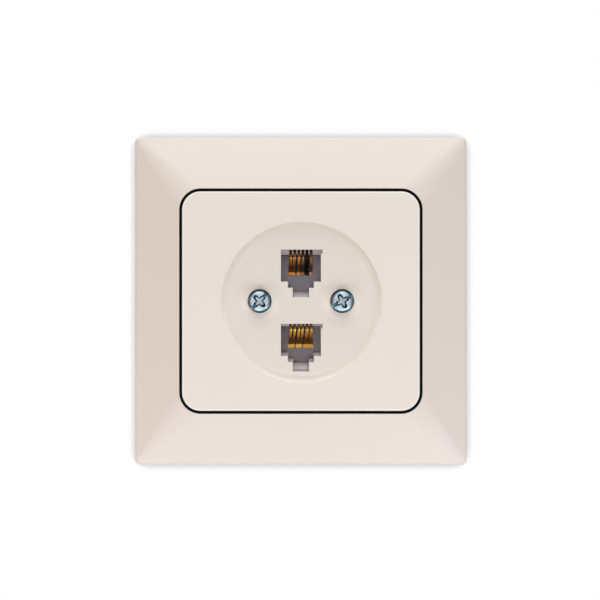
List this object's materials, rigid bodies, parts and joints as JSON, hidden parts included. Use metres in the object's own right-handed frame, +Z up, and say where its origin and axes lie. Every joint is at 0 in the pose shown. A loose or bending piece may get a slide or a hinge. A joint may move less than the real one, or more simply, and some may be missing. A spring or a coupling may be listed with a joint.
{
  "type": "telephone wall socket",
  "caption": "Flush telephone wall socket: square sloping frame, centre plate with a round dish, screws and modular jack openings, strap and terminals behind.",
  "frame": {"origin": "centre of the mounting strap's back face, on the wall's surface", "axes": "+X right and +Z up as seen from the room, +Y into the wall, so the front faces -Y"},
  "size_m": [0.0836, 0.0291, 0.0826],
  "materials": {
    "frame_plastic": "fine satin moulding, warm cream",
    "plate_plastic": "fine satin moulding, warm cream",
    "zinc_steel": "bright zinc plate with a blue cast",
    "brass": "turned",
    "galvanised_sheet": "pressed galvanised sheet",
    "rivet_steel": "plain",
    "base_plastic": "moulded, matt",
    "board": "green solder mask",
    "jack_plastic": "moulded, grey",
    "carrier_plastic": "moulded, near black",
    "contact_gold": "gold plated spring bronze",
    "terminal_plastic": "moulded, green"
  },
  "bodies": {
    "root": {"outer_frame": "frame_plastic", "centre_plate": "plate_plastic", "cover_screw_left": "zinc_steel", "cover_screw_right": "zinc_steel", "cover_screw_bushes": "brass", "mounting_strap": "galvanised_sheet", "strap_rivets": "rivet_steel", "mechanism_base": "base_plastic", "circuit_board": "board", "board_screws": "zinc_steel", "upper_jack_housing": "jack_plastic", "upper_contact_carrier": "carrier_plastic", "upper_contact_1": "contact_gold", "upper_contact_2": "contact_gold", "upper_contact_3": "contact_gold", "upper_contact_4": "contact_gold", "upper_contact_5": "contact_gold", "upper_contact_6": "contact_gold", "lower_jack_housing": "jack_plastic", "lower_contact_carrier": "carrier_plastic", "lower_contact_1": "contact_gold", "lower_contact_2": "contact_gold", "lower_contact_3": "contact_gold", "lower_contact_4": "contact_gold", "lower_contact_5": "contact_gold", "lower_contact_6": "contact_gold", "upper_terminal_block": "terminal_plastic", "upper_terminal_cage_1": "brass", "upper_terminal_cage_2": "brass", "upper_terminal_cage_3": "brass", "upper_terminal_cage_4": "brass", "upper_terminal_cage_5": "brass", "upper_terminal_cage_6": "brass", "upper_terminal_screws": "zinc_steel", "lower_terminal_block": "terminal_plastic", "lower_terminal_cage_1": "brass", "lower_terminal_cage_2": "brass", "lower_terminal_cage_3": "brass", "lower_terminal_cage_4": "brass", "lower_terminal_cage_5": "brass", "lower_terminal_cage_6": "brass", "lower_terminal_screws": "zinc_steel"}
  },
  "joints": []
}
